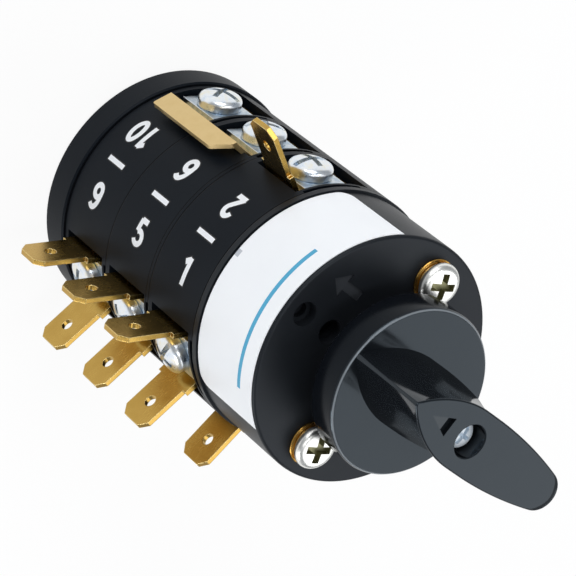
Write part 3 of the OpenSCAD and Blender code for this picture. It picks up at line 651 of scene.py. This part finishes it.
knee = (plate_x + leg_l * math.cos(math.radians(leg_deg)),
        -plate_half - leg_l * math.sin(math.radians(leg_deg)))
flange_way = Vector((math.cos(math.radians(flange_deg)), -math.sin(math.radians(flange_deg))))
for name in ("link_6_10", "link_8_12"):
    link = bmesh.new()
    low, high = 1.7 - pitch - plate_w / 2, plate_w / 2 + 0.3
    for z_mid in (0.0, -pitch):
        leg = bent_strip([(plate_x, plate_half - 0.4), (plate_x, -plate_half), knee], plate_w / 2, z_mid)
        leg = combined(leg, block((plate_x + 0.6, -15, -20), (plate_x + 6, -plate_half, low)))
        bore = lathe([(0, 16), (bore_r, 16), (bore_r, 20), (0, 20)], 40)
        bmesh.ops.rotate(bore, matrix=Matrix.Rotation(math.pi / 2, 3, "Y"), verts=bore.verts[:])
        bmesh.ops.translate(bore, vec=(0, 0, z_mid), verts=bore.verts[:])
        copied(link, combined(leg, bore), Matrix.Identity(4))
    flange = bmesh.new()
    shape = [(-0.4, high), (0.3, high), (flange_l - 0.15, high - 2.6), (flange_l, high - 2.9),
             (flange_l, low + 0.35), (flange_l - 0.1, low + 0.1), (flange_l - 0.35, low), (-0.4, low)]
    across = Vector((-flange_way.y, flange_way.x)) * brass_t / 2
    faces = [[flange.verts.new((*(Vector(knee) + flange_way * u + across * s), z)) for u, z in shape]
             for s in (1, -1)]
    flange.faces.new(faces[0])
    flange.faces.new(list(reversed(faces[1])))
    for i in range(len(shape)):
        j = (i + 1) % len(shape)
        flange.faces.new((faces[0][i], faces[1][i], faces[1][j], faces[0][j]))
    bmesh.ops.recalc_face_normals(flange, faces=flange.faces[:])
    link = combined(link, flange, "UNION")
    mirror = Matrix.Diagonal((1, -1, 1, 1)) if name == "link_8_12" else Matrix.Diagonal((-1, 1, 1, 1))
    turn = Matrix.Rotation(math.radians(-pocket_deg), 4, "Z")
    place = Matrix.Translation((0, 0, first_z - pitch)) @ mirror @ turn
    bmesh.ops.transform(link, matrix=place, verts=link.verts[:])
    bmesh.ops.recalc_face_normals(link, faces=link.faces[:])
    show("tumbled_" + name, link, tumbled_brass, "housing", name)
    eased = bpy.data.objects["tumbled_" + name].modifiers.new("eased_edges", "BEVEL")
    eased.width = 0.00016
    eased.segments = 2
    eased.limit_method = "ANGLE"
    eased.angle_limit = math.radians(38)
    eased.harden_normals = True


# Threaded inserts and flat washers under the panel screws: turned brass, deeper and warmer.
# Turning leaves fine rings round each screw, which are not drawn; a tarnish varies the colour and roughness.
turned_brass = Finish("turned_brass", (0.72, 0.46, 0.16), metallic=1.0, roughness=0.24)
at = turned_brass.place()
tarnish = turned_brass.noise(at, 0.8, 3.0, 0.5)
turned_brass.feed("Base Color", turned_brass.mix(tarnish, (0.55, 0.29, 0.05), (0.7, 0.42, 0.12)))
turned_brass.feed("Roughness", 0.18 + tarnish * 0.14)
dress(turned_brass, "threaded_inserts")
ring_parts = bmesh.new()
thin_ring = combined(lathe([(0, 0), (3.3, 0), (3.4, 0.1), (3.4, 0.25), (3.3, ring_t), (0, ring_t)], 64),
                     lathe([(0, -1), (1.6, -1), (1.6, 2), (0, 2)], 48))
for side in (-1, 1):
    copied(ring_parts, thin_ring, Matrix.Translation((bolt_x * side, 0, 0)))
show("thin_rings", ring_parts, turned_brass, "housing", "flat_washers")


# Spindle and springs: drawn steel bar and spring wire, plain and slightly oiled.
drawn_steel = Finish("drawn_steel", (0.56, 0.57, 0.6), metallic=1.0, roughness=0.3)
at = drawn_steel.place()
drawn = drawn_steel.noise(drawn_steel.node("ShaderNodeVectorMath", {"operation": "MULTIPLY"},
                                           {0: at, 1: (6.0, 6.0, 0.5)}), 0.8, 3.0, 0.6)
drawn_steel.feed("Roughness", 0.22 + drawn * 0.16)
drawn_steel.feed("Base Color", drawn_steel.mix(drawn, (0.5, 0.51, 0.54), (0.62, 0.63, 0.66)))
dress(drawn_steel, "spindle", "detent_rollers", "detent_springs")
coil_r = 1.9
wire_r = 0.2
coil_turns = 3
per_turn = 24
wire_sides = 10
for k in (1, 2, 3):
    for half, way in (("a", -1), ("b", 1)):
        low, high = (corner * 1000 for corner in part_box(f"contact_spring_{k}{half}"))
        spring_l = high.y - low.y
        wall_y = max(abs(low.y), abs(high.y))
        coil = bmesh.new()
        rings = []
        for i in range(coil_turns * per_turn + 1):
            turn = 2 * math.pi * i / per_turn
            along = way * (wall_y - wire_r - (spring_l - 2 * wire_r) * i / (coil_turns * per_turn))
            rings.append([])
            for n in range(wire_sides):
                bend = 2 * math.pi * n / wire_sides
                r = coil_r + wire_r * math.cos(bend)
                rings[-1].append(coil.verts.new((r * math.cos(turn), along + wire_r * math.sin(bend),
                                                 (low.z + high.z) / 2 + r * math.sin(turn))))
        for one, two in zip(rings, rings[1:]):
            for n in range(wire_sides):
                after = (n + 1) % wire_sides
                coil.faces.new((one[n], one[after], two[after], two[n]))
        coil.faces.new(rings[0])
        coil.faces.new(list(reversed(rings[-1])))
        bmesh.ops.recalc_face_normals(coil, faces=coil.faces[:])
        show(f"wound_spring_{k}{half}", coil, drawn_steel, "housing", f"contact_spring_{k}{half}")
        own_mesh(bpy.data.objects[f"wound_spring_{k}{half}"])


# Cams and detent star: ivory nylon, moulded to slide on the plungers without oil.
ivory_nylon = Finish("ivory_nylon", (0.72, 0.68, 0.58), roughness=0.45)
at = ivory_nylon.place()
cloud = ivory_nylon.noise(at, 0.2, 3.0, 0.5)
ivory_nylon.feed("Base Color", ivory_nylon.mix(cloud, (0.69, 0.65, 0.55), (0.76, 0.72, 0.63)))
ivory_nylon.feed("Roughness", 0.4 + cloud * 0.12)
dress(ivory_nylon, "cam_1", "cam_2", "cam_3", "detent_star")


# Plungers: brick-red moulded plastic that the cams push outwards against the contact springs.
plunger_red = Finish("plunger_red", (0.45, 0.07, 0.035), roughness=0.4)
at = plunger_red.place()
cloud = plunger_red.noise(at, 0.3, 3.0, 0.5)
plunger_red.feed("Base Color", plunger_red.mix(cloud, (0.41, 0.06, 0.03), (0.5, 0.09, 0.045)))
plunger_red.feed("Roughness", 0.36 + cloud * 0.12)
dress(plunger_red, *(f"plunger_{k}{s}" for k in (1, 2, 3) for s in "ab"))


# Bridges: pressed copper bars with silver buttons that join two contact strips.
bridge_copper = Finish("bridge_copper", (0.75, 0.45, 0.3), metallic=1.0, roughness=0.3)
at = bridge_copper.place()
dull = bridge_copper.noise(at, 0.6, 3.0, 0.5)
bridge_copper.feed("Base Color", bridge_copper.mix(dull, (0.68, 0.38, 0.24), (0.82, 0.52, 0.36)))
bridge_copper.feed("Roughness", 0.26 + dull * 0.14)
dress(bridge_copper, *(f"bridge_{k}{s}" for k in (1, 2, 3) for s in "ab"))


# Printed numbers: white ink pads on the chambers' number band, each with a thin black edge.
# They run round the band, with their tops towards the stroke between each pair.
ink_white = Finish("ink_white", (0.84, 0.86, 0.88), roughness=0.5)
at = ink_white.place()
blotch = ink_white.noise(at, 1.2, 3.0)
ink_white.feed("Base Color", ink_white.mix(blotch, (0.8, 0.82, 0.85), (0.88, 0.9, 0.92)))
ink_black = Finish("ink_black", (0.004, 0.004, 0.005), roughness=0.6)
at = ink_black.place()
ink_black.feed("Roughness", 0.55 + ink_black.noise(at, 2.0) * 0.15)
band_r = 20.0
digit_h = 4.4
pen_half = 0.44
edge_w = 0.2
stroke_half = 0.4
stroke_l = 4.3


def arc(x, y, rx, ry, start, end):
    """Points of an ellipse's arc, in shares of a digit's height."""
    steps = max(6, int(abs(end - start) / 9))
    turns = [math.radians(start + (end - start) * i / steps) for i in range(steps + 1)]
    return [(x + rx * math.cos(t), y + ry * math.sin(t)) for t in turns]


def straight(start, end):
    """Points of a straight stroke."""
    steps = 12
    return [tuple(Vector(start).lerp(Vector(end), i / steps)) for i in range(steps + 1)]


digit_paths = {
    "0": [arc(0.29, 0.5, 0.21, 0.42, 0, 360)],
    "1": [straight((0.36, 0.0), (0.36, 0.98)), straight((0.13, 0.76), (0.36, 0.93))],
    "2": [arc(0.29, 0.69, 0.2, 0.23, 165, -38) + straight((0.447, 0.548), (0.1, 0.08))[1:],
          straight((0.06, 0.08), (0.54, 0.08))],
    "5": [straight((0.5, 0.92), (0.14, 0.92)), straight((0.17, 0.95), (0.12, 0.5)),
          arc(0.27, 0.31, 0.22, 0.23, 128, -155)],
    "6": [arc(0.29, 0.31, 0.2, 0.22, 0, 360), arc(0.36, 0.42, 0.27, 0.49, 195, 52)],
}
digit_paths["9"] = [[(0.58 - x, 1.0 - y) for x, y in path] for path in digit_paths["6"]]


def pen_quads(path, half):
    """The flat ribbon that a pen of that half width leaves along a path, as a row of quads."""
    quads = []
    sides = []
    for i, point in enumerate(path):
        before = Vector(path[max(i - 1, 0)])
        after = Vector(path[min(i + 1, len(path) - 1)])
        if i in (0, len(path) - 1) and (Vector(path[0]) - Vector(path[-1])).length < 1e-6:
            before, after = Vector(path[-2]), Vector(path[1])
        way = (after - before).normalized()
        side = Vector((-way.y, way.x)) * half
        sides.append((Vector(point) + side, Vector(point) - side))
    for one, two in zip(sides, sides[1:]):
        quads.append((one[0], one[1], two[1], two[0]))
    return quads


def printed(name, quads, angle_deg, z_mid, lift, finish, flip):
    """Wraps flat quads, drawn in millimetres, round the number band and lets them ride on the housing."""
    bm = bmesh.new()
    for quad in quads:
        corners = []
        for across, up in quad:
            turn = math.radians(angle_deg) + flip * up / band_r
            r = band_r + lift
            corners.append(bm.verts.new((r * math.cos(turn) / 1000, r * math.sin(turn) / 1000,
                                         (z_mid - flip * across) / 1000)))
        face = bm.faces.new(corners)
        face.normal_update()
        if face.normal.x * corners[0].co.x + face.normal.y * corners[0].co.y < 0:
            face.normal_flip()
    mesh = bpy.data.meshes.new(name)
    bm.to_mesh(mesh)
    bm.free()
    mesh.materials.append(finish.material)
    piece = bpy.data.objects.new(name, mesh)
    bpy.context.scene.collection.objects.link(piece)
    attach(piece, "housing")


def number_quads(text, half):
    """The quads of a number of one or two digits, centred, in millimetres."""
    quads = []
    step = 0.66 * digit_h
    for place, digit in enumerate(text):
        middle = (place - (len(text) - 1) / 2) * step
        for path in digit_paths[digit]:
            points = [((x - 0.29) * digit_h + middle, (y - 0.5) * digit_h) for x, y in path]
            if half > pen_half and (Vector(points[0]) - Vector(points[-1])).length > 1e-6:
                first = Vector(points[0]) + (Vector(points[0]) - Vector(points[1])).normalized() * edge_w
                last = Vector(points[-1]) + (Vector(points[-1]) - Vector(points[-2])).normalized() * edge_w
                points = [tuple(first)] + points + [tuple(last)]
            quads += pen_quads(points, half)
    return quads


band_z = (-22.0, -35.1, -48.3)
for row, (right, left) in enumerate((("1", "2"), ("5", "6"), ("9", "10"))):
    for text, angle_deg, flip in ((right, -73.0, -1), (left, -106.3, 1)):
        printed(f"number_{text}_edge", number_quads(text, pen_half + edge_w), angle_deg, band_z[row],
                0.01, ink_black, flip)
        printed(f"number_{text}", number_quads(text, pen_half), angle_deg, band_z[row],
                0.03, ink_white, flip)
    for part, grow, lift, finish in (("edge", edge_w, 0.01, ink_black), ("ink", 0.0, 0.03, ink_white)):
        bar = [(x, 0.0) for x in (-stroke_l / 2 - grow, stroke_l / 2 + grow)]
        printed(f"stroke_{right}_{part}", pen_quads(bar, stroke_half + grow), -90.0, band_z[row],
                lift, finish, 1)
